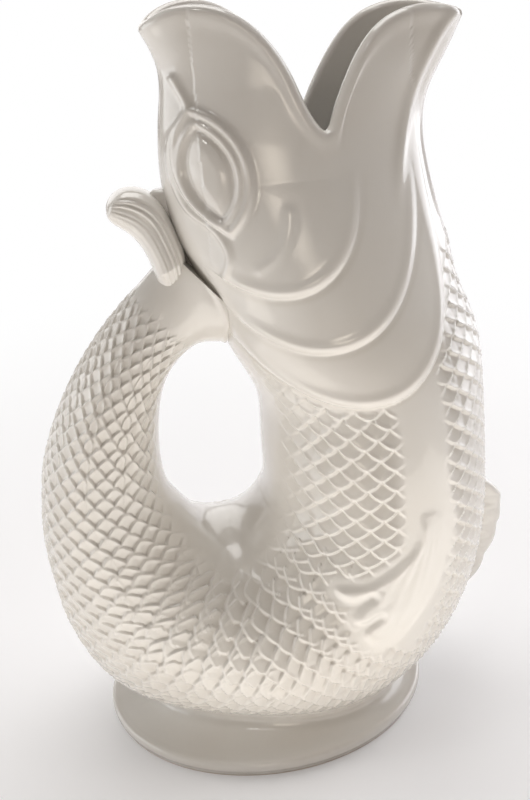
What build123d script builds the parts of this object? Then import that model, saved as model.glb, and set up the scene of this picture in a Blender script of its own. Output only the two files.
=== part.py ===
"""A gurgle jug: a hollow glazed earthenware fish that stands head up on an oval foot.

Its open mouth is the pouring rim, and its hollow tail curls up behind the head as the handle.
Millimetres. +X points to the chin, over which it pours, and the tail is at -X.
Y = 0 is the plane of symmetry. Z = 0 is the table, and the origin is the middle of the foot.
"""

import os
from math import cos, radians, sin

from build123d import *

# ---- driving dimensions ----
WALL = 4.5  # thickness of the cast wall
REACH = 120.0  # more than the jug measures from its middle to any side

# The fish is cast round a curved spine: down from the mouth to the belly, then up along the tail.
# Each station is one oval section: its middle (x, z), its turn from level, half length, half width.
MOUTH_TO_NECK = [
    (27.0, 262.0, 0.0, 50.5, 16.0),
    (27.0, 250.0, 0.0, 49.5, 17.0),
    (27.0, 240.0, 0.0, 46.0, 18.8),
    (22.7, 225.0, 0.0, 42.3, 22.0),
    (21.8, 205.0, 0.0, 42.8, 27.0),
    (27.5, 180.0, 0.0, 43.0, 33.0),
    (32.5, 165.0, 0.0, 41.5, 36.5),
    (37.5, 150.0, 0.0, 42.5, 39.5),
]
CHEST = [
    (43.5, 130.0, 0.0, 39.5, 41.5),
    (44.5, 110.0, 0.0, 39.5, 43.5),
]
# Round the bottom the sections fan out from the low end of the finger loop.
LOOP_X, LOOP_Z = -13.0, 96.5
FAN = [  # turn of the section, from the loop's middle to the loop's edge and to the outline, half width
    (0.0, 18.0, 97.5, 44.3),
    (-30.0, 18.0, 104.0, 46.5),
    (-60.0, 19.5, 106.0, 48.5),
    (-90.0, 20.0, 91.0, 47.0),
    (-120.0, 16.0, 87.0, 38.0),
    (-150.0, 14.5, 71.0, 30.0),
    (-180.0, 16.5, 62.0, 24.5),
]
BOWL_SECTIONS = 6  # of the fan's sections belong to the body, and the rest to the tail
TAIL_TUBE = [
    (-46.6, 127.0, -198.0, 17.0, 19.5),
    (-34.5, 150.0, -217.0, 13.2, 15.5),
]
TAIL_END = (-21.5, 162.0, -230.0, 14.0, 12.5)
TAIL_ROOT = (-8.0, 171.0, -225.0, 17.0, 13.0)

# The open mouth, seen from the side: upper jaw, notch, lower jaw.
RIM_LINE = [
    (-31.0, 243.0),
    (-22.5, 252.5),
    (-14.0, 256.0),
    (-3.0, 255.5),
    (9.0, 249.0),
    (19.0, 235.0),
    (24.0, 224.0),
    (28.0, 219.5),
    (32.0, 226.0),
    (38.0, 238.0),
    (47.0, 247.5),
    (62.0, 251.5),
    (82.0, 247.0),
]
ABOVE_THE_RIM = 300.0

# The gill plates of one side lie on one another like tiles. Seen from the side, each has its free
# edge, with its thickness there, and fades into the head higher up.
GILL_PLATES = {
    "front": dict(
        edge=[(-12, 182), (-4, 177), (8, 173), (19, 174), (28, 180), (34, 190), (37, 205)],
        thickness=3.4,
        low=173.0,
        fade=212.0,
    ),
    "middle": dict(
        edge=[(-10, 172), (0, 163), (14, 156), (29, 156), (41, 162), (50, 174), (55, 192), (57, 214)],
        thickness=2.6,
        low=156.0,
        fade=218.0,
    ),
    "rear": dict(
        edge=[(-9, 163), (1, 152), (14, 142), (30, 137), (45, 139), (57, 149), (63, 167), (61, 190), (56, 228)],
        thickness=1.8,
        low=137.0,
        fade=232.0,
    ),
}
GILL_TOP = 240.0  # above every plate's fade

# The eye, seen from the side: top, front, bottom and back of a pointed almond.
EYE_RING = [(-12.0, 229.0), (5.0, 208.5), (-1.5, 191.0), (-17.5, 212.0)]
EYE_BALL = [(-9.5, 222.0), (-0.5, 209.0), (-4.5, 197.0), (-13.5, 211.0)]
EYE_RING_HEIGHT = 1.3
EYE_BALL_HEIGHT = 2.4
EYE_RING_WIDTH = 2.0
EYE_GROOVE_HEIGHT = 0.5

# The side fin, seen from the side, from its root round three lobes, each with a ray.
SIDE_FIN = [(62, 90), (51, 91), (49, 72), (41, 63), (24, 60), (32, 50), (30, 40), (42, 36), (50, 44), (59, 62)]
SIDE_FIN_MEMBRANE = 1.4
SIDE_FIN_ROOT = (59.0, 96.0)
SIDE_FIN_RAYS = [((60, 55), (52, 38)), ((45, 30), (35, 32)), ((22, 44), (16, 58))]
SIDE_FIN_HEIGHT = 2.8

# The fin along the belly, seen from the side: the tips of its rays, and its root inside the wall.
BELLY_FIN_TIPS = [(95.0, 74.0), (94.5, 60.0), (90.0, 46.5), (83.5, 34.5), (75.0, 24.0), (65.0, 15.5)]
BELLY_FIN_ROOT = [(58.0, 25.0), (70.0, 50.0), (76.0, 88.0)]
BELLY_FIN_THICKNESS = 6.0
BELLY_FIN_BEVEL = 1.2
SCALLOP = 1.2  # how far the edge swells between two ray tips

# The tail fin, seen from the side: the corners of the thick fluke, and a point on each arc
# between them. A thinner web ties the fluke to the head.
FLUKE_CORNERS = [(-27.5, 171.0), (-38.5, 193.5), (-37.5, 201.0), (-22.0, 199.0), (-6.0, 170.0)]
FLUKE_ARCS = [(-28.5, 185.5), (-40.3, 197.8), (-30.0, 202.2), (-13.0, 186.0)]
FLUKE_THICKNESS = 18.0
FLUKE_ROUND = 3.0
FLUKE_CORNER_ROUND = 1.5
WEB = [(-26, 180), (-27, 202), (-14, 206), (0, 190), (0, 172)]
WEB_THICKNESS = 7.0

# The oval foot: half length and half width of its upright rim, and of its cove at three heights.
FOOT_RIM = (61.0, 50.5)
FOOT_RIM_HEIGHT = 9.0
FOOT_RIM_ROUND = 3.5
FOOT_COVE = [(9.0, 57.0, 46.0), (12.0, 56.0, 43.5), (16.0, 58.5, 41.0)]
FOOT_RECESS = (54.5, 45.0)
FOOT_RECESS_HEIGHT = 5.0


def fan_station(turn, loop_edge, outline, half_width):
    """The section that starts at the finger loop and ends at the outline, in one direction."""
    middle = (loop_edge + outline) / 2
    x = LOOP_X + middle * cos(radians(turn))
    z = LOOP_Z + middle * sin(radians(turn))
    return (x, z, turn, (outline - loop_edge) / 2, half_width)


fan = [fan_station(*row) for row in FAN]
bowl_stations = CHEST[-1:] + fan[:BOWL_SECTIONS]
chest_stations = MOUTH_TO_NECK[-1:] + CHEST
tail_stations = fan[BOWL_SECTIONS - 1 :] + TAIL_TUBE


def section_plane(x, z, turn):
    """A plane square to the spine: its x runs outwards across the fish, and its y along Y."""
    across = (cos(radians(turn)), 0, sin(radians(turn)))
    along = (sin(radians(turn)), 0, -cos(radians(turn)))
    return Plane(origin=(x, 0, z), x_dir=across, z_dir=along)


def no_growth(z):
    return 0


def form(stations, grow=no_growth):
    """The smooth form through oval sections, each grown by what grow says for its height."""
    with BuildPart() as smooth:
        for x, z, turn, half_length, half_width in stations:
            with BuildSketch(section_plane(x, z, turn)):
                Ellipse(half_length + grow(z), half_width + grow(z))
        loft()
    return smooth.part


def shrink_by_wall(z):
    return -WALL


def side_curve(points):
    """A face in the plane of symmetry, bounded by a smooth closed curve through (x, z) points."""
    with BuildSketch(Plane.XZ, mode=Mode.PRIVATE) as outline:
        with BuildLine():
            Spline(*points, periodic=True)
        make_face()
    return outline.sketch


def almond(points):
    """A face between two arcs in the plane of symmetry, pointed at its top and bottom."""
    top, front, bottom, back = points
    with BuildSketch(Plane.XZ, mode=Mode.PRIVATE) as outline:
        with BuildLine():
            ThreePointArc(top, front, bottom)
            ThreePointArc(bottom, back, top)
        make_face()
    return outline.sketch


def relief(outline, height, stations):
    """What stands up to one height from the near side of the fish, inside an outline."""
    with BuildPart() as raised:
        add(form(stations, lambda z: height))
        extrude(outline, amount=REACH, mode=Mode.INTERSECT)
    return raised.part


def side_edges(builder):
    """The outline edges of a flat fin, on both of its sides."""
    groups = builder.edges().group_by(Axis.Y)
    return groups[0] + groups[-1]


def save(part, name):
    part.label = name
    export_step(part, f"parts/{name}.step")


def save_both_sides(part, name):
    """The near side of the fish is its right side, and the left is its mirror image."""
    save(part, f"{name}_right")
    save(mirror(part, about=Plane.XZ), f"{name}_left")


os.makedirs("parts", exist_ok=True)

head_form = form(MOUTH_TO_NECK)
chest_form = form(chest_stations)
bowl_form = form(bowl_stations)
tail_form = form(tail_stations + [TAIL_END])

# ---- body: the chest and the bowl of the belly, one hollow casting ----
with BuildPart() as body:
    add(chest_form)
    add(form(chest_stations, shrink_by_wall), mode=Mode.SUBTRACT)
    add(bowl_form)
    add(form(bowl_stations, shrink_by_wall), mode=Mode.SUBTRACT)
save(body.part, "body")

# ---- tail handle: hollow, open to the body, and closed where it narrows under the fin ----
with BuildPart() as tail_handle:
    add(tail_form)
    add(form(tail_stations, shrink_by_wall), mode=Mode.SUBTRACT)
save(tail_handle.part, "tail_handle")

# ---- head: its mouth is cut along the rim line ----
with BuildPart() as head:
    add(head_form)
    add(form(MOUTH_TO_NECK, shrink_by_wall), mode=Mode.SUBTRACT)
    with BuildSketch(Plane.XZ):
        with BuildLine():
            rim = Spline(*RIM_LINE)
            Polyline(rim @ 1, (RIM_LINE[-1][0], ABOVE_THE_RIM), (RIM_LINE[0][0], ABOVE_THE_RIM), rim @ 0)
        make_face()
    extrude(amount=REACH, both=True, mode=Mode.SUBTRACT)
save(head.part, "head")

# ---- tail fin: the fluke and its web, on the end of the tail, against the back of the head ----
with BuildPart() as tail_fin:
    with BuildSketch(Plane.XZ) as fluke_side:
        with BuildLine():
            for start, middle, end in zip(FLUKE_CORNERS, FLUKE_ARCS, FLUKE_CORNERS[1:]):
                ThreePointArc(start, middle, end)
            Line(FLUKE_CORNERS[-1], FLUKE_CORNERS[0])
        make_face()
        fillet(fluke_side.vertices(), FLUKE_CORNER_ROUND)
    extrude(amount=FLUKE_THICKNESS / 2, both=True)
    fillet(side_edges(tail_fin), FLUKE_ROUND)
    with BuildSketch(Plane.XZ):
        Polygon(*WEB, align=None)
    extrude(amount=WEB_THICKNESS / 2, both=True)
    add(form([TAIL_END, TAIL_ROOT]))
    add(head_form, mode=Mode.SUBTRACT)
    add(tail_form, mode=Mode.SUBTRACT)
save(tail_fin.part, "tail_fin")

# ---- belly fin, on the middle line of the belly ----
with BuildPart() as belly_fin:
    with BuildSketch(Plane.XZ):
        with BuildLine():
            for upper, lower in zip(BELLY_FIN_TIPS, BELLY_FIN_TIPS[1:]):
                SagittaArc(lower, upper, SCALLOP)
            Polyline(BELLY_FIN_TIPS[-1], *BELLY_FIN_ROOT, BELLY_FIN_TIPS[0])
        make_face()
    extrude(amount=BELLY_FIN_THICKNESS / 2, both=True)
    chamfer(side_edges(belly_fin), BELLY_FIN_BEVEL)
    add(bowl_form, mode=Mode.SUBTRACT)
save(belly_fin.part, "belly_fin")

# ---- oval foot, open underneath, with the bowl of the belly seated in it ----
with BuildPart() as foot:
    with BuildSketch():
        Ellipse(*FOOT_RIM)
    extrude(amount=FOOT_RIM_HEIGHT)
    fillet(foot.edges().group_by(Axis.Z)[-1], FOOT_RIM_ROUND)
    for height, half_length, half_width in FOOT_COVE:
        with BuildSketch(Plane.XY.offset(height)):
            Ellipse(half_length, half_width)
    loft()
    with BuildSketch():
        Ellipse(*FOOT_RECESS)
    extrude(amount=FOOT_RECESS_HEIGHT, mode=Mode.SUBTRACT)
    add(bowl_form, mode=Mode.SUBTRACT)
save(foot.part, "foot")

# ---- gill plates: each fills the side view between its free edge and the one above it, round
# the eye ----
covered = almond(EYE_RING)
for name, plate in GILL_PLATES.items():
    edge, thickness, low, fade = plate["edge"], plate["thickness"], plate["low"], plate["fade"]

    def swell(z, thickness=thickness, low=low, fade=fade):
        return thickness * (fade - z) / (fade - low)

    with BuildSketch(Plane.XZ) as inside_edge:
        with BuildLine():
            free_edge = Spline(*edge)
            Polyline(free_edge @ 1, (edge[-1][0], GILL_TOP), (edge[0][0], GILL_TOP), free_edge @ 0)
        make_face()
        add(covered, mode=Mode.SUBTRACT)
    with BuildPart() as gill_plate:
        add(form(MOUTH_TO_NECK + CHEST, swell))
        extrude(inside_edge.sketch, amount=REACH, mode=Mode.INTERSECT)
        add(head_form, mode=Mode.SUBTRACT)
        add(chest_form, mode=Mode.SUBTRACT)
        add(tail_fin.part, mode=Mode.SUBTRACT)
    save_both_sides(gill_plate.part, f"gill_plate_{name}")
    covered = covered + inside_edge.sketch

# ---- eyes: a raised ring, a groove and a ball, seated on the side of the head ----
with BuildSketch(Plane.XZ) as ring_band:
    add(almond(EYE_RING))
    offset(amount=-EYE_RING_WIDTH, mode=Mode.SUBTRACT)

with BuildPart() as eye:
    add(relief(almond(EYE_RING), EYE_GROOVE_HEIGHT, MOUTH_TO_NECK))
    add(relief(ring_band.sketch, EYE_RING_HEIGHT, MOUTH_TO_NECK))
    add(relief(almond(EYE_BALL), EYE_BALL_HEIGHT, MOUTH_TO_NECK))
    add(head_form, mode=Mode.SUBTRACT)
save_both_sides(eye.part, "eye")

# ---- side fins: a thin membrane with thicker rays, on the side of the belly ----
with BuildSketch(Plane.XZ) as fin_rays:
    for front_tip, back_tip in SIDE_FIN_RAYS:
        Polygon(SIDE_FIN_ROOT, front_tip, back_tip, align=None)
    add(side_curve(SIDE_FIN), mode=Mode.INTERSECT)

with BuildPart() as side_fin:
    add(relief(side_curve(SIDE_FIN), SIDE_FIN_MEMBRANE, bowl_stations))
    add(relief(fin_rays.sketch, SIDE_FIN_HEIGHT, bowl_stations))
    add(bowl_form, mode=Mode.SUBTRACT)
save_both_sides(side_fin.part, "side_fin")
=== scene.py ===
"""The looks of the gurgle jug: a white glazed fish that stands head up on an oval foot.

Lengths are in millimetres until a mesh is made, in the frame of the solids: +X to the chin, +Z up,
and Y = 0 the plane of symmetry. The near side of the fish is at -Y.
"""

import itertools

import bmesh
import bpy
import numpy as np
from mathutils import Matrix, Vector


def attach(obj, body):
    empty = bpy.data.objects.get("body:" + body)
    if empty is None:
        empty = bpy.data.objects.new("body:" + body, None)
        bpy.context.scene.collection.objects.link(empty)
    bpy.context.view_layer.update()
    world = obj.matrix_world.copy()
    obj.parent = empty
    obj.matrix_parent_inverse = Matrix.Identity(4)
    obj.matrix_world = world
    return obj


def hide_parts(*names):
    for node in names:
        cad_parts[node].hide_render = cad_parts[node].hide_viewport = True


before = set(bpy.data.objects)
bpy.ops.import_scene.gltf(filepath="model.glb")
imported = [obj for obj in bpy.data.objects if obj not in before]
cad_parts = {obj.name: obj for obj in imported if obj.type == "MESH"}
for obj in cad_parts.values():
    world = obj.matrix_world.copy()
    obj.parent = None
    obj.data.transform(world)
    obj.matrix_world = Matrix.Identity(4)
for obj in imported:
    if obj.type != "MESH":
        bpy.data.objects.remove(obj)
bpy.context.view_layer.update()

MM = 0.001
WALL = 4.5  # how thick the castings are

# ---- the fish's spine: middle (x, z), turn, half length and half width of its oval sections ----
LOOP = np.array([-13.0, 96.5])
FAN = [  # turn, from the loop's middle to the loop's edge and to the outline, half width
    (0, 18, 97.5, 44.3),
    (-30, 18, 104, 46.5),
    (-60, 19.5, 106, 48.5),
    (-90, 20, 91, 47),
    (-120, 16, 87, 38),
    (-150, 14.5, 71, 30),
    (-180, 16.5, 62, 24.5),
]


def fan_station(turn, loop_edge, outline, half_width):
    """The section that starts at the finger loop and ends at the outline, in one direction."""
    middle = (loop_edge + outline) / 2
    x, z = LOOP + middle * np.array([np.cos(np.radians(turn)), np.sin(np.radians(turn))])
    return (x, z, turn, (outline - loop_edge) / 2, half_width)


STATIONS = np.array(
    [
        (27, 262, 0, 50.5, 16),
        (27, 250, 0, 49.5, 17),
        (27, 240, 0, 46, 18.8),
        (22.7, 225, 0, 42.3, 22),
        (21.8, 205, 0, 42.8, 27),
        (27.5, 180, 0, 43, 33),
        (32.5, 165, 0, 41.5, 36.5),
        (37.5, 150, 0, 42.5, 39.5),
        (43.5, 130, 0, 39.5, 41.5),
        (44.5, 110, 0, 39.5, 43.5),
        *[fan_station(*row) for row in FAN],
        (-46.6, 127, -198, 17, 19.5),
        (-34.5, 150, -217, 13.2, 15.5),
        (-21.5, 162, -230, 14, 12.5),
        (-8, 171, -225, 17, 13),
    ]
)


def spline_slopes(knots, values):
    """The slopes at the knots of the natural cubic spline through the values."""
    count = len(knots)
    step = np.diff(knots)
    rise = np.diff(values, axis=0) / step[:, None]
    matrix = np.zeros((count, count))
    right = np.zeros_like(values)
    matrix[0, :2] = 2, 1
    matrix[-1, -2:] = 1, 2
    right[0], right[-1] = 3 * rise[0], 3 * rise[-1]
    for k in range(1, count - 1):
        matrix[k, k - 1 : k + 2] = step[k], 2 * (step[k - 1] + step[k]), step[k - 1]
        right[k] = 3 * (step[k] * rise[k - 1] + step[k - 1] * rise[k])
    return np.linalg.solve(matrix, right)


class Curve:
    """A smooth curve through points, read by the distance along it."""

    def __init__(self, points):
        self.values = np.array(points, float)
        gaps = np.linalg.norm(np.diff(self.values[:, :2], axis=0), axis=1)
        self.knots = np.r_[0, np.cumsum(gaps)]
        self.slopes = spline_slopes(self.knots, self.values)
        self.length = self.knots[-1]

    def at(self, where):
        where = np.asarray(where, float)
        k = np.clip(np.searchsorted(self.knots, where) - 1, 0, len(self.knots) - 2)
        step = (self.knots[k + 1] - self.knots[k])[..., None]
        t = (where - self.knots[k])[..., None] / step
        low, high = self.values[k], self.values[k + 1]
        return (
            low * (1 + 2 * t) * (1 - t) ** 2
            + high * t * t * (3 - 2 * t)
            + self.slopes[k] * step * t * (1 - t) ** 2
            - self.slopes[k + 1] * step * t * t * (1 - t)
        )

    def line(self, count):
        return self.at(np.linspace(0, self.length, count))


SPINE = Curve(STATIONS)
SEAM_HEAD = SPINE.knots[7]  # at the throat, 150 mm up
SEAM_TAIL = SPINE.knots[15]  # in the fan, low on the tail
FAN_START = SPINE.knots[10]
FAN_END = SPINE.knots[16]


def form(along, around, grow=0.0):
    """The smooth form of the fish: points by the distance along the spine and the angle round it."""
    x, z, turn, half_length, half_width = np.moveaxis(SPINE.at(along), -1, 0)
    turn = np.radians(turn)
    across = (half_length + grow) * np.cos(around)
    y = (half_width + grow) * np.sin(around)
    return np.stack([x + across * np.cos(turn), y, z + across * np.sin(turn)], -1)


def unit(vectors):
    return vectors / np.maximum(np.linalg.norm(vectors, axis=-1, keepdims=True), 1e-9)


def form_normal(along, around):
    """The outward direction of the smooth form."""
    down = form(along + 0.05, around) - form(along - 0.05, around)
    round_it = form(along, around + 0.001) - form(along, around - 0.001)
    return unit(np.cross(down, round_it))


# ---- reliefs, drawn in the side view ----
def smooth_step(low, high, value):
    t = np.clip((value - low) / (high - low), 0, 1)
    return t * t * (3 - 2 * t)


def distance_to(line, x, z):
    """The distance from points to a line of points, both in the side view."""
    best = np.full(x.shape, 1e9)
    for (ax, az), (bx, bz) in zip(line[:-1], line[1:]):
        ux, uz = bx - ax, bz - az
        t = np.clip(((x - ax) * ux + (z - az) * uz) / (ux * ux + uz * uz + 1e-9), 0, 1)
        best = np.minimum(best, (x - ax - t * ux) ** 2 + (z - az - t * uz) ** 2)
    return np.sqrt(best)


def inside(outline, x, z):
    """Whether points of the side view lie inside a closed outline."""
    result = np.zeros(x.shape, bool)
    for (ax, az), (bx, bz) in zip(outline, np.roll(outline, -1, axis=0)):
        if az != bz:
            over = (az > z) != (bz > z)
            result ^= over & (x < (bx - ax) * (z - az) / (bz - az) + ax)
    return result


def arc(start, middle, end, count):
    """Points on the arc through three points."""
    (ax, ay), (bx, by), (cx, cy) = start, middle, end
    d = 2 * (ax * (by - cy) + bx * (cy - ay) + cx * (ay - by))
    a2, b2, c2 = ax * ax + ay * ay, bx * bx + by * by, cx * cx + cy * cy
    ox = (a2 * (by - cy) + b2 * (cy - ay) + c2 * (ay - by)) / d
    oy = (a2 * (cx - bx) + b2 * (ax - cx) + c2 * (bx - ax)) / d
    angles = np.unwrap([np.arctan2(p[1] - oy, p[0] - ox) for p in (start, middle, end)])
    turn = np.interp(np.linspace(0, 2, count), [0, 1, 2], angles)
    return np.array([ox, oy]) + np.hypot(ax - ox, ay - oy) * np.stack([np.cos(turn), np.sin(turn)], -1)


GILL_TOP = 240  # how high up the plates' outlines are closed
EDGE_ROUND = 3.4  # how far in from its free edge a gill plate is rounded
GILLS = [  # free edge, thickness there, height of its lowest point, height where it fades out
    ([(-12, 182), (-4, 177), (8, 173), (19, 174), (28, 180), (34, 190), (37, 205)], 3.4, 173, 212),
    (
        [(-10, 172), (0, 163), (14, 156), (29, 156), (41, 162), (50, 174), (55, 192), (57, 214)],
        2.6, 156, 218,
    ),
    (
        [(-9, 163), (1, 152), (14, 142), (30, 137), (45, 139), (57, 149), (63, 167), (61, 190), (56, 228)],
        1.8, 137, 232,
    ),
]
# top, front, bottom and back corner of the eye and of the ring round it
EYE_BALL = [(-9.5, 222.0), (-0.5, 209.0), (-4.5, 197.0), (-13.5, 211.0)]
EYE_RING = [(-11.5, 228.5), (5.0, 208.0), (-2.0, 192.0), (-17.6, 212.0)]
BROW = [
    (-14.5, 236), (-12.5, 231.5), (-11.5, 228.5), (-15.2, 222), (-17.6, 215), (-17.6, 209), (-16.2, 203),
    (-14, 198.5), (-10.7, 195.7), (-7.6, 193.6), (-4.9, 190.5), (-3.1, 186.3), (-4.3, 179),
]
CHEEK = [(14.7, 198), (13.9, 192.6), (12.2, 188.6), (9.2, 184.9), (5.4, 181.9)]
JAW_RIDGE = [(76, 252), (70, 247), (64.5, 241), (60, 234), (56, 226), (52.5, 216), (50, 204), (48.5, 192)]

gill_lines = [Curve(edge).line(70) for edge, *_ in GILLS]


def almond(corners, count=60):
    """A closed outline of two arcs that meet in points at its top and bottom."""
    top, front, bottom, back = corners
    return np.vstack([arc(top, front, bottom, count)[:-1], arc(bottom, back, top, count)[:-1]])


def closed(line):
    """The line with its first point once more at its end."""
    return np.vstack([line, line[:1]])


def ridge(line, x, z, height, width):
    """The height of a soft ridge that runs along a line."""
    return height * np.exp(-((distance_to(line, x, z) / width) ** 2))


def gill_height(x, z):
    """How far the gill plates stand from the side of the fish, and how deep in a fold a point is."""
    height = np.zeros(x.shape)
    fold = np.zeros(x.shape)
    near = (z > 128) & (z < GILL_TOP)
    for (edge, thick, low, fade), line in reversed(list(zip(GILLS, gill_lines))):
        outline = np.vstack([line, (line[-1][0], GILL_TOP), (line[0][0], GILL_TOP)])
        gap = np.full(x.shape, -99.0)
        gap[near] = distance_to(line, x[near], z[near])
        gap[near] *= np.where(inside(outline, x[near], z[near]), 1, -1)
        from_back = smooth_step(line[0][0], line[0][0] + 13, x)
        fading = np.clip((fade - z) / (fade - low), 0, 1.1) * from_back
        bead = 0.5 * np.exp(-(((gap - 2.6) / 1.8) ** 2))
        edge_round = np.sqrt(np.clip(1 - np.clip(1 - (gap + 0.6) / EDGE_ROUND, 0, 1) ** 2, 0, 1))
        height = np.maximum(height, edge_round * (thick + bead) * fading)
        # the fold feeds painted shade just outside each plate's free edge, where the plate's shadow falls
        fold = np.maximum(fold, 0.5 * np.exp(-(((gap + 1.4) / 0.9) ** 2)) * fading)
    return height, fold


def face_height(x, z):
    """The rings of the eye, the brow line that runs down from it, the cheek and the jaw ridge."""
    near = (z > 170) & (z < 256)
    height = np.zeros(x.shape)
    xs, zs = x[near], z[near]
    ring = almond(EYE_RING)
    ball = almond(EYE_BALL)
    out_ring = distance_to(closed(ring), xs, zs) * np.where(inside(ring, xs, zs), -1, 1)
    out_ball = distance_to(closed(ball), xs, zs) * np.where(inside(ball, xs, zs), -1, 1)
    made = 1.0 * np.exp(-(((out_ring + 1.0) / 1.15) ** 2)) + 0.5 * smooth_step(1.5, -1.5, out_ring)
    made += 0.9 * np.exp(-(((out_ball - 1.6) / 1.0) ** 2))
    made -= 0.5 * np.exp(-((out_ball / 0.8) ** 2))
    made += 1.3 * smooth_step(0.4, -4.5, out_ball)
    made = np.maximum(made, ridge(Curve(BROW).line(60), xs, zs, 1.2, 1.25))
    made += ridge(Curve(CHEEK).line(20), xs, zs, 0.45, 1.6)
    made += ridge(Curve(JAW_RIDGE).line(30), xs, zs, 1.1, 2.0) * smooth_step(192, 214, zs)
    height[near] = made
    return height


# ---- scales: tiles in columns round the fish, whose free edges point to the tail ----
SCALE_LENGTH = 7.0  # from one scale to the next in a column
SCALE_DEPTH, TAIL_SCALE_DEPTH = 1.5, 1.05
BELLY_COLUMNS, TAIL_COLUMNS = 27, 20  # in half a turn
TURN_TO_TAIL = SPINE.knots[13] - 8  # low in the bowl, where fewer columns take over
SCALES_FROM, SCALES_TO = SPINE.knots[5], SPINE.knots[19]
BAND_END = FAN_START + 45  # how far down a smooth band runs along each side of the chest
SCALE_SIDE = 0.53  # how far a scale reaches to each side, as a share of the gap between its neighbours
CELL = 12.0  # the side of the cubes in which points are sorted, to find those near a scale
SCALE_SEEN = 0.8 * CELL  # how far round a scale points are looked for
FAR = 9.0  # a free edge further away than this doesn't count


def column_seeds(first, last, columns):
    """Where scales sit in the columns of one stretch: along the spine and round it.

    Each column has a whole number of scales, so that neighbours stay staggered at both ends.
    """
    seeds = []
    for column in range(2 * columns):
        around = np.pi * column / columns
        way = np.linspace(first, last, 400)
        line = form(way, np.full(400, around))
        run = np.r_[0, np.cumsum(np.linalg.norm(np.diff(line, axis=0), axis=1))]
        count = max(1, round(run[-1] / SCALE_LENGTH))
        step = run[-1] / count
        places = (np.arange(count) + (column % 2) / 2) * step
        along = np.interp(places, run, way)
        seeds += [(where, around, step, columns) for where in along]
    return seeds


scale_seeds = (
    column_seeds(SCALES_FROM, FAN_START, BELLY_COLUMNS)
    + column_seeds(FAN_START, TURN_TO_TAIL, BELLY_COLUMNS)
    + column_seeds(TURN_TO_TAIL, FAN_END, TAIL_COLUMNS)
    + column_seeds(FAN_END, SCALES_TO, TAIL_COLUMNS)
)
seed_rows = np.array([row[:2] for row in scale_seeds])
seed_steps = np.array([row[2] for row in scale_seeds])
seed_columns = np.array([row[3] for row in scale_seeds])
seed_spots = form(seed_rows[:, 0], seed_rows[:, 1])
seed_tailward = unit(form(seed_rows[:, 0] + 0.1, seed_rows[:, 1]) - seed_spots)
seed_across = unit(form(seed_rows[:, 0], seed_rows[:, 1] + 0.001) - seed_spots)
column_turn = np.pi / seed_columns  # the turn from one column to the next
seed_neighbours = [form(seed_rows[:, 0], seed_rows[:, 1] + way * column_turn) for way in (1, -1)]
seed_spacing = np.linalg.norm(seed_neighbours[0] - seed_neighbours[1], axis=1)


def free_edge_gaps(points):
    """How far points are from the next free edge towards the tail, and from the last towards the head."""
    flat = points.reshape(-1, 3)
    keys = np.floor(flat / CELL).astype(int)
    order = np.lexsort(keys.T)
    keys, flat = keys[order], flat[order]
    change = np.r_[0, np.flatnonzero(np.any(np.diff(keys, axis=0), axis=1)) + 1, len(keys)]
    cells = {tuple(keys[start]): slice(start, stop) for start, stop in zip(change[:-1], change[1:])}
    next_gap, last_gap = np.full(len(flat), FAR), np.full(len(flat), FAR)
    seeds = zip(seed_spots, seed_tailward, seed_across, seed_spacing, seed_steps)
    for spot, tailward, across, wide, step in seeds:
        low = np.floor((spot - SCALE_SEEN) / CELL).astype(int)
        high = np.floor((spot + SCALE_SEEN) / CELL).astype(int)
        for cell in itertools.product(*map(range, low, high + 1)):
            if cell not in cells:
                continue
            part = cells[cell]
            gap = flat[part] - spot
            side = np.abs(gap @ across) / (wide * SCALE_SIDE)
            past = gap @ tailward - step * 0.5 * (1 - np.minimum(side, 1) ** 1.5)
            on_scale = (side < 1) & (np.abs(past) < FAR)
            next_gap[part] = np.minimum(next_gap[part], np.where(on_scale & (past <= 0), -past, FAR))
            last_gap[part] = np.minimum(last_gap[part], np.where(on_scale & (past > 0), past, FAR))
    ahead, behind = np.empty(len(flat)), np.empty(len(flat))
    ahead[order], behind[order] = next_gap, last_gap
    return ahead.reshape(points.shape[:-1]), behind.reshape(points.shape[:-1])


# ---- the side fin: its outline, and the front edge, towards which it sinks into the belly ----
SIDE_FIN = [
    (61, 94.5), (55.5, 98.5), (50, 98), (48.5, 90), (46.5, 84.5), (43, 81), (37.5, 77),
    (31, 73.5), (25, 73), (20.5, 71.5), (21.5, 68.5), (25, 66.5), (27.5, 66.5), (32.5, 68.5),
    (27, 64), (26, 59), (29, 58), (35, 60.5), (28.5, 55), (30.5, 50.5), (34.5, 48),
    (39, 49.5), (44, 55), (49.5, 61), (53.5, 68.5), (57, 77.5), (61, 85.5),
]
FIN_FRONT = [
    (46, 101), (57, 100), (61, 94.5), (61, 85.5), (57, 77.5), (53.5, 68.5), (49.5, 61),
    (44, 55), (39, 49.5), (36, 46),
]
FIN_ROOT = (56.0, 99.0)  # where the rays start
FIN_RAYS = 44  # how many rays a full turn round the root would hold
side_fin_line = Curve(SIDE_FIN + SIDE_FIN[:1]).line(200)


def fin_height(x, z):
    """The side fin: a soft relief with a rounded edge, a hollow middle and rays from its root."""
    height = np.zeros(x.shape)
    near = (z > 42) & (z < 104) & (x > 14)
    xs, zs = x[near], z[near]
    gap = distance_to(side_fin_line, xs, zs) * np.where(inside(side_fin_line[:-1], xs, zs), 1, -1)
    bearing = np.arctan2(xs - FIN_ROOT[0], FIN_ROOT[1] - zs)
    run = np.hypot(xs - FIN_ROOT[0], zs - FIN_ROOT[1])
    made = 1.25 * smooth_step(-0.5, 3.4, gap) + 0.35 * np.exp(-(((gap - 2.8) / 1.6) ** 2))
    made -= 0.5 * smooth_step(4, 11, gap)
    made += 0.2 * np.cos(bearing * FIN_RAYS) * smooth_step(1.5, 5, gap) * smooth_step(6, 18, run)
    made *= 0.8 * smooth_step(0, 13, distance_to(FIN_FRONT, xs, zs))
    height[near] = made
    return height


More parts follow.
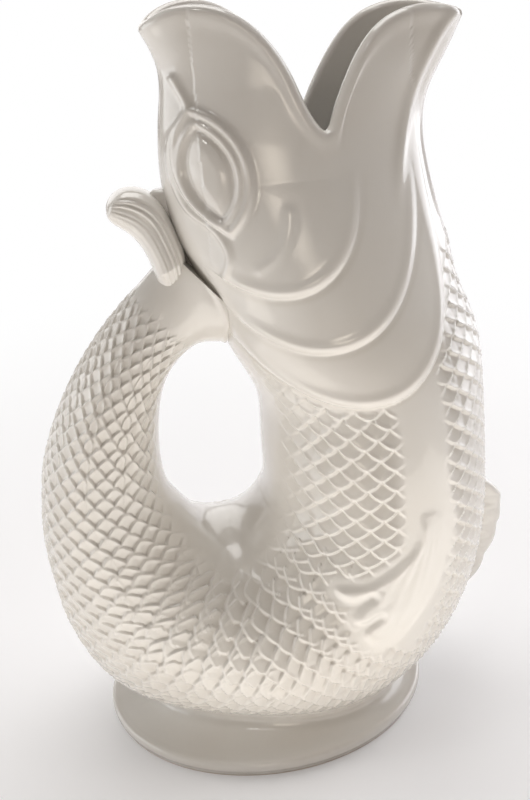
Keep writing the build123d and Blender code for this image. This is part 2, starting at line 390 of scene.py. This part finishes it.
def scale_height(along, around, x, z):
    """The scales' relief where they grow, and how deep in a pocket a point is."""
    ahead, behind = free_edge_gaps(form(along, around))
    room = ahead + behind
    depth = np.clip(room / SCALE_LENGTH, 0, 1) ** 0.8
    shape = 1 - depth * (1 - behind / np.maximum(room, 0.1)) ** 1.3
    shape = 1 - (1 - shape) * smooth_step(0, 0.8, behind)
    shape += 0.22 * np.exp(-((ahead / 0.9) ** 2)) * smooth_step(0.5, 3.5, room)
    cosine = np.cos(around)
    grows = smooth_step(-0.94, -0.7, cosine)
    bare_band = 1 - smooth_step(-0.1, 0.04, cosine) * smooth_step(0.5, 0.38, cosine)
    grows *= np.where(along < BAND_END, bare_band, 1)
    edge = gill_lines[2]
    outline = np.vstack([edge, (edge[-1][0], 300), (edge[0][0], 300)])
    near = z > 125
    gap = np.full(x.shape, 99.0)
    gap[near] = distance_to(edge, x[near], z[near]) * np.where(inside(outline, x[near], z[near]), -1, 1)
    grows *= smooth_step(0.5, 4, gap)
    by_fin = (z < 106) & (x > 12)
    gap = np.full(x.shape, 99.0)
    in_fin = inside(side_fin_line[:-1], x[by_fin], z[by_fin])
    gap[by_fin] = distance_to(side_fin_line, x[by_fin], z[by_fin]) * np.where(in_fin, -1, 1)
    grows *= smooth_step(0.5, 5, gap)
    grows *= 0.35 + 0.65 * smooth_step(14, 34, z)
    grows *= smooth_step(SCALES_TO - 1, SCALES_TO - 8, along)
    deep = np.interp(along, [FAN_START, FAN_END], [SCALE_DEPTH, TAIL_SCALE_DEPTH])
    # the second value feeds painted shade in the scales' pockets
    return grows * deep * (shape - 0.8), grows * np.clip(1 - shape, 0, 1)


SINK = 0.8  # how far the tail's outermost side draws in, so that its scales stay in the solids' reach
SINK_FROM, SINK_TO = -71.5, -75  # between which places on the X axis it does so


def covered(along, around):
    """Points of the fish with all that stands out from its side, and how deep in a fold each is."""
    points = form(along, around)
    x, z = points[..., 0], points[..., 2]
    height, fold = gill_height(x, z)
    height = height + face_height(x, z) + fin_height(x, z)
    scales, pockets = scale_height(along, around, x, z)
    height = height + scales - SINK * smooth_step(SINK_FROM, SINK_TO, x)
    return points + form_normal(along, around) * height[..., None], np.maximum(fold, pockets)


def head_gap(points):
    """About how far points are from the smooth form of the head."""
    upright = SPINE.at(np.linspace(0, SPINE.knots[9], 400))
    x, z, _, half_length, half_width = upright[np.argsort(upright[:, 1])].T
    middle, a, b = (np.interp(points[..., 2], z, values) for values in (x, half_length, half_width))
    dx, y = points[..., 0] - middle, points[..., 1]
    size = np.sqrt((dx / a) ** 2 + (y / b) ** 2)
    return (size - 1) * size / np.sqrt((dx / a**2) ** 2 + (y / b**2) ** 2 + 1e-9)


# ---- making meshes ----
def ring_normals(rings, wrap_rings, before=None, after=None):
    """Smooth normals of rings of points.

    A piece that goes on in the next one is given the ring before its first, and a row with the ring
    that would follow it, so that no seam shows.
    """
    if wrap_rings:
        down = np.roll(rings, -1, 0) - np.roll(rings, 1, 0)
    else:
        down = np.gradient(rings, axis=0)
    if before is not None:
        down[0] = rings[1] - before
    if after is not None:
        row, next_ring = after
        down[row] = next_ring - rings[row - 1]
    return unit(np.cross(np.roll(rings, -1, 1) - np.roll(rings, 1, 1), down))


def full_turn(count):
    return np.linspace(-np.pi, np.pi, count, endpoint=False)


def oval_ring(x, z, half_length, half_width, turn):
    """A level ring round a point of the side view."""
    return np.stack([x + half_length * np.cos(turn), half_width * np.sin(turn), np.full(len(turn), z)], -1)


def point_ring(ring):
    """A ring that is shrunk to its middle, which closes an end."""
    return np.repeat(ring.mean(0)[None, None], len(ring), 1)


def closed_ends(rings):
    return np.concatenate([point_ring(rings[0]), rings, point_ring(rings[-1])])


def skin(name, rings, wrap_rings=False, normals=None, fold=None):
    """A closed piece over rings of points, which wrap round a wall or shrink to a point at both ends."""
    count, around = rings.shape[:2]
    rows = count if wrap_rings else count - 1
    bm = bmesh.new()
    bmesh.ops.create_grid(bm, x_segments=around, y_segments=rows, size=1)
    place = bm.verts.layers.int.new("place")
    for vert in bm.verts:
        i = round((vert.co.x + 1) / 2 * around) % around
        j = round((vert.co.y + 1) / 2 * rows) % count
        vert[place] = j * around + i
        vert.co = Vector(rings[j, i] * MM)
    bmesh.ops.remove_doubles(bm, verts=bm.verts, dist=1e-7)
    bmesh.ops.recalc_face_normals(bm, faces=bm.faces)
    for face in bm.faces:
        face.smooth = True
    mesh = bpy.data.meshes.new(name)
    bm.to_mesh(mesh)
    bm.free()
    piece = bpy.data.objects.new(name, mesh)
    bpy.context.scene.collection.objects.link(piece)
    places = np.zeros(len(mesh.vertices), np.int32)
    mesh.attributes["place"].data.foreach_get("value", places)
    mesh.attributes.remove(mesh.attributes["place"])
    depth = mesh.attributes.new("fold", "FLOAT", "POINT")
    if fold is not None:
        depth.data.foreach_set("value", fold.reshape(-1)[places].astype(np.float32))
    if normals is not None:
        flat = normals.reshape(-1, 3)[places]
        own = np.zeros(len(mesh.vertices) * 3, np.float32)
        mesh.vertices.foreach_get("normal", own)
        if (flat * own.reshape(-1, 3)).sum() < 0:
            flat = -flat
        mesh.normals_split_custom_set_from_vertices(flat.tolist())
    return piece


def seat(piece, *nodes):
    """The piece rides on the jug, takes the place of these solids and is glazed."""
    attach(piece, "root")
    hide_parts(*nodes)
    piece.data.materials.append(glaze)


# ---- the glaze ----
class Number:
    """A number that changes over the surface: a socket that Python's operators work on."""

    def __init__(self, finish, socket):
        self.finish, self.socket = finish, socket

    def combine(self, operation, first, second):
        return self.finish.add("ShaderNodeMath", {"operation": operation}, {0: first, 1: second})

    def __add__(self, other):
        return self.combine("ADD", self, other)

    def __rsub__(self, other):
        return self.combine("SUBTRACT", other, self)

    def __mul__(self, other):
        return self.combine("MULTIPLY", self, other)

    __radd__ = __add__
    __rmul__ = __mul__


class Finish:
    """A material, or the light of the world, that is put together from nodes."""

    def __init__(self, owner):
        owner.use_nodes = True
        self.tree = owner.node_tree
        self.tree.nodes.clear()

    def add(self, kind, settings=None, inputs=None, output=0):
        made = self.tree.nodes.new(kind)
        for key, value in (settings or {}).items():
            setattr(made, key, value)
        for key, value in (inputs or {}).items():
            if isinstance(value, Number):
                self.tree.links.new(value.socket, made.inputs[key])
            else:
                made.inputs[key].default_value = value
        return Number(self, made.outputs[output]) if len(made.outputs) else made


def step_node(finish, value, low, high):
    """A soft step from 0 to 1 between two values."""
    return finish.add(
        "ShaderNodeMapRange",
        {"interpolation_type": "SMOOTHSTEP"},
        {"Value": value, "From Min": low, "From Max": high, "To Min": 0.0, "To Max": 1.0},
    )


def mix_colours(finish, share, first, second):
    """Two colours mixed. The Mix node's sockets share their names, so they are called by number."""
    inputs = {0: share, 6: first, 7: second}
    return finish.add("ShaderNodeMix", {"data_type": "RGBA"}, inputs, output=2)


GLAZE_WHITE, GLAZE_WARM = (0.80, 0.785, 0.755, 1), (0.775, 0.745, 0.70, 1)
PAINTED_FOLD_SHADE = (0.60, 0.56, 0.50, 1)  # painted shade, deep in a fold or a scale's pocket
BARE_CLAY = (0.62, 0.52, 0.43, 1)
BARE_BELOW, GLAZED_ABOVE = 0.0004, 0.0011  # in metres, at the foot's edge


def make_glaze():
    material = bpy.data.materials.new("white_glaze")
    f = Finish(material)
    place = f.add("ShaderNodeTexCoord", output="Object")
    cloud = f.add("ShaderNodeTexNoise", {}, {"Vector": place, "Scale": 22.0, "Detail": 3.0})
    grain = f.add("ShaderNodeTexNoise", {}, {"Vector": place, "Scale": 420.0, "Detail": 2.0})
    fold = f.add("ShaderNodeAttribute", {"attribute_name": "fold"}, output="Fac")
    height = f.add("ShaderNodeSeparateXYZ", {}, {"Vector": place}, output="Z")
    colour = mix_colours(f, step_node(f, cloud, 0.35, 0.7) * 0.6, GLAZE_WHITE, GLAZE_WARM)
    # painted shade: the glaze darkens in the folds under the gill plates and in the scales' pockets
    colour = mix_colours(f, fold * 0.55, colour, PAINTED_FOLD_SHADE)
    bare = 1 - step_node(f, height, BARE_BELOW, GLAZED_ABOVE)
    colour = mix_colours(f, bare, colour, BARE_CLAY)
    bump = f.add("ShaderNodeBump", {}, {"Strength": 0.05, "Distance": 0.0004, "Height": grain})
    shader = f.add(
        "ShaderNodeBsdfPrincipled",
        {},
        {
            "Base Color": colour,
            "Roughness": 0.13 + 0.08 * cloud + 0.6 * bare,
            "Coat Weight": 0.6 * (1 - bare),
            "Coat Roughness": 0.04,
            "IOR": 1.5,
            "Normal": bump,
        },
    )
    f.add("ShaderNodeOutputMaterial", {}, {"Surface": shader})
    return material


glaze = make_glaze()

# ---- body and head: one hollow wall, cut at the throat ----
AROUND = 400  # points in one ring
STEP = 0.62  # from one ring to the next along the spine
INNER_ROWS = 32
SEAM_BELLY = 210.0  # where the visible wall is cut in two, to keep its pieces light
angles = full_turn(AROUND)


def wall_rings(along_rows, inner_rows):
    """Rings of the outer wall with its reliefs, then of the inner wall back the other way."""
    shape = (len(along_rows), AROUND)
    outer, fold = covered(np.broadcast_to(along_rows[:, None], shape), np.broadcast_to(angles, shape))
    inner = form(inner_rows[:, None], angles[None, :], -WALL)
    return outer, inner, np.vstack([fold, np.zeros(inner.shape[:2])])


def one_ring(along):
    """The outer ring of the wall at one place along the spine."""
    return covered(np.full((1, AROUND), along), angles[None, :])[0][0]


def wall_piece(name, first, last):
    """A stretch of the body's wall between two seams, with the side fins' relief."""
    rows = np.append(np.arange(first, last - STEP / 2, STEP), last)
    outer, inner, fold = wall_rings(rows, np.linspace(last, first, INNER_ROWS))
    rings = np.concatenate([outer, inner])
    normals = ring_normals(
        rings, True, before=one_ring(first - STEP), after=(len(outer) - 1, one_ring(last + STEP))
    )
    seat(skin(name, rings, True, normals, fold), "body", "side_fin_left", "side_fin_right")


wall_piece("fish_chest", SEAM_HEAD, SEAM_BELLY)
wall_piece("fish_belly", SEAM_BELLY, SEAM_TAIL)

# ---- head: open at the mouth, whose rim is drawn in the side view ----
RIM_LINE = [
    (-31, 243), (-22.5, 252.5), (-14, 256), (-3, 255.5), (9, 249), (19, 235), (24, 224),
    (28, 219.5), (32, 226), (38, 238), (47, 247.5), (62, 251.5), (82, 247),
]
LIP = WALL / 2  # how far the rounded rim stands over the edge of the wall
LIP_STEPS = 10
RIM_BEAD, RIM_BEAD_WIDTH = 0.5, 3.0  # how far the wall swells under the rim
rim = Curve(RIM_LINE).line(500)
rim_way = unit(np.gradient(rim, axis=0))
rim_low = rim - LIP * np.stack([-rim_way[:, 1], rim_way[:, 0]], -1)
low_order = np.argsort(rim_low[:, 0])
# each line down the head's wall starts at its first place under the rim
candidates = np.linspace(0, SPINE.knots[5], 1200)
spots = form(candidates[:, None], angles[None, :])
under = spots[..., 2] < np.interp(spots[..., 0], rim_low[low_order, 0], rim_low[low_order, 1])
rim_along = candidates[under.argmax(0)]
for _ in range(2):
    rim_along = (np.roll(rim_along, 1) + 2 * rim_along + np.roll(rim_along, -1)) / 4
HEAD_ROWS, HEAD_INNER_ROWS = 190, 30
along = SEAM_HEAD + (rim_along[None, :] - SEAM_HEAD) * np.linspace(0, 1, HEAD_ROWS)[:, None]
around = np.broadcast_to(angles, along.shape)
outer, fold = covered(along, around)
bead = RIM_BEAD * np.exp(-(((along - rim_along[None, :]) / RIM_BEAD_WIDTH) ** 2))
outer = outer + form_normal(along, around) * bead[..., None]
inner_along = SEAM_HEAD + (rim_along[None, :] - SEAM_HEAD) * np.linspace(1, 0, HEAD_INNER_ROWS)[:, None]
inner = form(inner_along, np.broadcast_to(angles, inner_along.shape), -WALL)
across = inner[0] - outer[-1]
rim_run = np.roll(outer[-1], -1, 0) - np.roll(outer[-1], 1, 0)
rise = unit(np.cross(rim_run, across))
rise *= np.sign(rise[:, 2:3] + 1e-9)  # upwards all the way round
lip = [
    outer[-1] + across * (1 - np.cos(t)) / 2 + rise * np.sin(t) * LIP
    for t in np.linspace(0, np.pi, LIP_STEPS)[1:-1]
]
rings = np.concatenate([outer, np.array(lip), inner])
fold = np.vstack([fold, np.zeros((len(lip) + len(inner), AROUND))])
normals = ring_normals(rings, True, before=one_ring(SEAM_HEAD + STEP))
gills = [
    f"gill_plate_{place}_{side}" for place in ("front", "middle", "rear") for side in ("left", "right")
]
seat(skin("fish_head", rings, True, normals, fold), "head", "eye_left", "eye_right", *gills)

# ---- tail handle: open to the body below, and closed inside the back of the head ----
TAIL_FLARE = 1.6  # how far the tail swells where it meets the head
LOOP_FLARE = 3.2  # how much further it does so on the finger loop's side
TAIL_REACH = 6.5  # how far from the head that reaches
SEAM_RIDGE = 0.8  # the height of the line where tail and head are joined
TAIL_INNER_ROWS = 40
tail_rows = np.append(np.arange(SEAM_TAIL, SPINE.length, STEP), SPINE.length)
along = np.broadcast_to(tail_rows[:, None], (len(tail_rows), AROUND))
around = np.broadcast_to(angles, along.shape)
outer, fold = covered(along, around)
gap = np.clip(head_gap(outer), 0, 99)
upper_tail = smooth_step(SPINE.knots[17], SPINE.knots[18], along)
flare = TAIL_FLARE + LOOP_FLARE * smooth_step(0.3, -0.7, np.cos(around))
flare = flare * np.exp(-((gap / TAIL_REACH) ** 2)) * upper_tail
outer = outer + form_normal(along, around) * flare[..., None]
seam_line = SEAM_RIDGE * np.exp(-(((head_gap(outer) - 1.0) / 0.7) ** 2)) * upper_tail
outer = outer + form_normal(along, around) * seam_line[..., None]
inner_rows = np.linspace(SPINE.knots[18], SEAM_TAIL, TAIL_INNER_ROWS)
inner = form(inner_rows[:, None], angles[None, :], -WALL)
# the two ends of the wall: the outer one closes in the head, and the inner one short of it
rings = closed_ends(np.concatenate([inner, outer]))
fold = np.vstack([np.zeros((1 + len(inner), AROUND)), fold, np.zeros((1, AROUND))])
normals = ring_normals(rings, False)
start = 1 + len(inner)
down = rings[start + 1] - one_ring(SEAM_TAIL - STEP)
normals[start] = unit(np.cross(np.roll(rings[start], -1, 0) - np.roll(rings[start], 1, 0), down))
seat(skin("fish_tail", rings, False, normals, fold), "tail_handle")

# ---- tail fin: a thick curled fluke with rays along it, and a web between it and the head ----
# the fluke's two edges in the side view, from its root up
HEAD_SIDE = [
    (-19.8, 170.5), (-16.5, 175.5), (-15.8, 181), (-17, 186.5), (-19, 192.5), (-22, 198.6), (-27, 202.4),
    (-33, 203.2), (-38, 200.6),
]
FREE_SIDE = [
    (-22.2, 169.5), (-25.2, 173), (-26.8, 177.5), (-28.6, 183), (-31.5, 188), (-35, 191.3), (-38, 193.8),
    (-39.6, 197),
]
# half its thickness, by the share of the way up
FLUKE_HALF = [(0, 6), (0.1, 9.5), (0.25, 12), (0.5, 10.5), (0.75, 8), (0.9, 6.6), (1, 5.4)]
FLUKE_RAYS = 8  # how many the whole width would hold
FLUKE_ROWS, FLUKE_AROUND = 110, 160


def fluke_rings(count, around):
    """Rings across the fluke from its root up, with thin rays along it towards the head."""
    steps = np.linspace(0, 1, count)
    right, left = Curve(HEAD_SIDE), Curve(FREE_SIDE)
    right, left = right.at(steps * right.length), left.at(steps * left.length)
    turn = full_turn(around)
    half = np.interp(steps, *zip(*FLUKE_HALF))
    end = np.sqrt(np.clip(1 - np.clip((steps - 0.94) / 0.06, 0, 1) ** 2, 0, 1))
    middle, reach = (right + left) / 2, (right - left) / 2
    wide = np.sign(np.cos(turn)) * np.abs(np.cos(turn)) ** 0.7
    thick = np.sign(np.sin(turn)) * np.abs(np.sin(turn)) ** 0.7
    rays = 0.3 * np.cos(wide * np.pi * FLUKE_RAYS) * np.abs(np.sin(turn)) * smooth_step(-0.5, 0.1, wide)
    x = middle[:, 0:1] + reach[:, 0:1] * wide[None, :] * end[:, None]
    z = middle[:, 1:2] + reach[:, 1:2] * wide[None, :] * end[:, None]
    ray_fade = (smooth_step(0, 0.15, steps) * smooth_step(1.0, 0.8, steps))[:, None]
    y = (half[:, None] + rays[None, :] * ray_fade) * thick[None, :] * end[:, None]
    return np.stack([x, y, z], -1)


rings = fluke_rings(FLUKE_ROWS, FLUKE_AROUND)
seat(skin("fish_tail_fin", np.concatenate([point_ring(rings[0]), rings])), "tail_fin")

WEB_LINE = [(-8, 166), (-13, 176), (-18.5, 185), (-22.5, 193), (-24.5, 199.5), (-22, 202)]
WEB_SHIFT = 7  # from that line to the web's middle
WEB_HALF_LENGTH, WEB_HALF = 9, 3.5
WEB_ROWS, WEB_AROUND = 30, 24
turn = full_turn(WEB_AROUND)
rings = np.stack(
    [
        oval_ring(x + WEB_SHIFT, z, WEB_HALF_LENGTH, WEB_HALF, turn)
        for x, z in Curve(WEB_LINE).line(WEB_ROWS)
    ]
)
seat(skin("fish_tail_web", closed_ends(rings)), "tail_fin")

# ---- belly fin: a row of lobes under the chin, with rays across them ----
# the notches between its lobes, and the line along which it stands on the belly, from the top down
NOTCHES = [(95.0, 74.0), (94.5, 60.0), (90.0, 46.5), (83.5, 34.5), (75.0, 24.0), (65.0, 15.5)]
BELLY_FIN_ROOT = [(76, 86), (76, 74), (74, 62), (70, 50), (64, 38), (57, 26)]
BELLY_FIN_ROWS, BELLY_FIN_AROUND = 110, 48
BELLY_FIN_HALF, BELLY_FIN_RAY = 2.6, 0.35  # half its thickness, and how far its rays stand out
RAYS_PER_LOBE = 2
LOBE_HEIGHT, NOTCH_INSET = 1.1, 0.9
BELLY_FIN_REACH = 94.9  # it goes no further forward than the solids do
BELLY_FIN_TOP = (86.5, 82.5)
outer_edge = Curve([BELLY_FIN_TOP] + NOTCHES)
edge = outer_edge.line(BELLY_FIN_ROWS)
root = Curve(BELLY_FIN_ROOT).line(BELLY_FIN_ROWS)
marks = outer_edge.knots[1:]
phase = np.interp(np.linspace(0, outer_edge.length, BELLY_FIN_ROWS), marks, np.arange(len(marks)))
swell = LOBE_HEIGHT * np.abs(np.sin(np.pi * phase))
edge = edge + unit(edge - root) * (swell - NOTCH_INSET)[:, None]
edge[:, 0] = np.minimum(edge[:, 0], BELLY_FIN_REACH)
turn = full_turn(BELLY_FIN_AROUND)
wide, thick = (1 + np.cos(turn)) / 2, np.sin(turn)
ray = BELLY_FIN_RAY * np.cos(2 * np.pi * RAYS_PER_LOBE * phase)[:, None] * np.abs(thick)[None, :]
x = root[:, 0:1] + (edge - root)[:, 0:1] * wide[None, :]
z = root[:, 1:2] + (edge - root)[:, 1:2] * wide[None, :]
y = (BELLY_FIN_HALF + ray) * thick[None, :]
seat(skin("fish_belly_fin", closed_ends(np.stack([x, y, z], -1))), "belly_fin")

# ---- foot: a flange with a rounded edge and a cove up to the belly, open underneath ----
FOOT = [  # half length, half width, height
    (54.5, 45.0, 0.8),
    (54.9, 45.4, 0.2),
    (55.5, 45.9, 0.0),
    (58.6, 48.1, 0.0),
    (59.4, 48.9, 0.3),
    (59.7, 49.2, 1.2),
    (60.1, 49.6, 2.4),
    (60.8, 50.3, 3.2),
    (61.0, 50.5, 4.2),
    (61.0, 50.5, 5.4),
    (60.7, 50.2, 6.3),
    (60.1, 49.6, 6.8),
    (59.4, 48.9, 6.9),
    (58.3, 47.8, 6.8),
    (57.1, 46.4, 6.9),
    (52.0, 42.5, 4.0),
    (52.6, 43.1, 3.6),
]
COVE_FROM = 15  # the row of FOOT before which the cove goes
COVE = [  # share of the way in to the belly, height, and how far past the belly's outside it is
    (0.1, 7.2, 0.0),
    (0.25, 8.0, 0.0),
    (0.45, 9.4, 0.0),
    (0.66, 11.2, 0.0),
    (0.85, 13.4, 0.0),
    (1.0, 16.2, -0.3),
    (1.0, 15.8, -2.4),
    (1.0, 9.0, -2.4),
]
FOOT_AROUND = 240
turn = full_turn(FOOT_AROUND)
bowl = form(np.linspace(FAN_START, FAN_END, 1200)[:, None], angles[None, :]).reshape(-1, 3)


def bowl_outline(height, bearing):
    """How far the outside of the belly is from the upright axis at one height."""
    level = bowl[np.abs(bowl[:, 2] - height) < 0.3]
    level = level[np.argsort(np.arctan2(level[:, 1], level[:, 0]))]
    return np.interp(
        bearing, np.arctan2(level[:, 1], level[:, 0]), np.hypot(level[:, 0], level[:, 1]), period=2 * np.pi
    )


def foot_ring(half_length, half_width, z):
    return oval_ring(0, z, half_length, half_width, turn)


def cove_ring(share, z, past):
    """A ring between the flange's top and the belly."""
    ring = foot_ring(*FOOT[COVE_FROM - 1][:2], z)
    reach = np.hypot(ring[:, 0], ring[:, 1])
    bearing = np.arctan2(ring[:, 1], ring[:, 0])
    new_reach = reach * (1 - share) + (bowl_outline(z, bearing) + past) * share
    ring[:, :2] *= (new_reach / reach)[:, None]
    return ring


rings = [foot_ring(*row) for row in FOOT]
rings[COVE_FROM:COVE_FROM] = [cove_ring(*row) for row in COVE]
seat(skin("oval_foot", np.stack(rings), True), "foot")

# ---- stage, light and camera ----
bpy.ops.mesh.primitive_plane_add(size=30)
floor = bpy.context.object
floor.name = "floor"
paper = bpy.data.materials.new("white_paper")
f = Finish(paper)
seen = f.add("ShaderNodeLightPath", output="Is Camera Ray")
matt = f.add("ShaderNodeBsdfDiffuse", {}, {"Color": (0.93, 0.93, 0.95, 1)})
glow = f.add("ShaderNodeEmission", {}, {"Color": (1, 1, 1, 1), "Strength": 1.0})
place = f.add("ShaderNodeTexCoord", output="Object")
apart = f.add("ShaderNodeVectorMath", {"operation": "LENGTH"}, {"Vector": place}, output="Value")
far = step_node(f, apart, 0.12, 0.5)
both = f.add("ShaderNodeMixShader", {}, {0: seen * (0.22 + 0.78 * far), 1: matt, 2: glow})
f.add("ShaderNodeOutputMaterial", {}, {"Surface": both})
floor.data.materials.append(paper)

world = bpy.data.worlds.new("studio")
bpy.context.scene.world = world
f = Finish(world)
sky = f.add("ShaderNodeBackground", {}, {"Color": (1.0, 0.80, 0.64, 1), "Strength": 0.13})
white = f.add("ShaderNodeBackground", {}, {"Color": (1, 1, 1, 1), "Strength": 1.0})
seen = f.add("ShaderNodeLightPath", output="Is Camera Ray")
both = f.add("ShaderNodeMixShader", {}, {0: seen, 1: sky, 2: white})
f.add("ShaderNodeOutputWorld", {}, {"Surface": both})


def lamp(name, spot, target, size, power, colour, spread=180):
    """A soft lamp that the camera doesn't see."""
    light = bpy.data.lights.new(name, "AREA")
    light.shape = "RECTANGLE"
    light.size, light.size_y = size
    light.energy = power
    light.color = colour
    light.spread = np.radians(spread)
    holder = bpy.data.objects.new(name, light)
    bpy.context.scene.collection.objects.link(holder)
    holder.location = spot
    holder.rotation_euler = (Vector(target) - Vector(spot)).to_track_quat("-Z", "Y").to_euler()
    holder.visible_camera = False


AIM = (0.0, 0.0, 0.13)
LOW_AIM = (-0.03, 0.0, 0.08)
lamp("left_window", (-1.0, 0.12, 0.22), LOW_AIM, (1.0, 0.6), 4.0, (0.97, 0.99, 1.0))
lamp("right_window", (1.0, 0.35, 0.4), AIM, (0.9, 1.1), 8.2, (0.95, 0.96, 1.0))
lamp("back_wall", (0.0, 1.3, 0.5), AIM, (1.6, 0.9), 4.8, (1.0, 1.0, 1.0))
lamp("ceiling", (0.0, 0.3, 1.2), AIM, (0.8, 0.8), 7.6, (1.0, 0.99, 0.97))
lamp("table_glow", (-0.08, -0.19, 0.004), (-0.08, -0.19, 1.0), (0.8, 0.24), 0.85, (1.0, 0.94, 0.85))
lamp("foot_light", (-0.12, -0.8, 0.3), (-0.01, 0.0, 0.0), (1.0, 0.35), 0.09, (1.0, 0.9, 0.76), 22)
lamp("spark", (-0.25, -0.5, 0.9), AIM, (0.08, 0.08), 0.3, (1.0, 0.98, 0.95))

CAMERA_SPOT = Vector((-0.0355739, -0.3239723, 0.280))
LOOK_AT = Vector((0.0075, 0.0032, 0.123))
ROLL = np.radians(-4.0)
FOCAL_PIXELS, FRAME_PIXELS, SENSOR = 1035.0, 800.0, 36.0
forward = (LOOK_AT - CAMERA_SPOT).normalized()
right = forward.cross(Vector((0, 0, 1))).normalized()
up = right.cross(forward)
right, up = np.cos(ROLL) * right + np.sin(ROLL) * up, np.cos(ROLL) * up - np.sin(ROLL) * right
lens = bpy.data.cameras.new("camera")
lens.sensor_width = SENSOR
lens.lens = FOCAL_PIXELS * SENSOR / FRAME_PIXELS
lens.clip_start, lens.clip_end = 0.01, 50
camera = bpy.data.objects.new("camera", lens)
bpy.context.scene.collection.objects.link(camera)
turned = Matrix((right, up, -forward)).transposed().to_4x4()
camera.matrix_world = Matrix.Translation(CAMERA_SPOT) @ turned
bpy.context.scene.camera = camera
bpy.context.scene.view_settings.view_transform = "Standard"
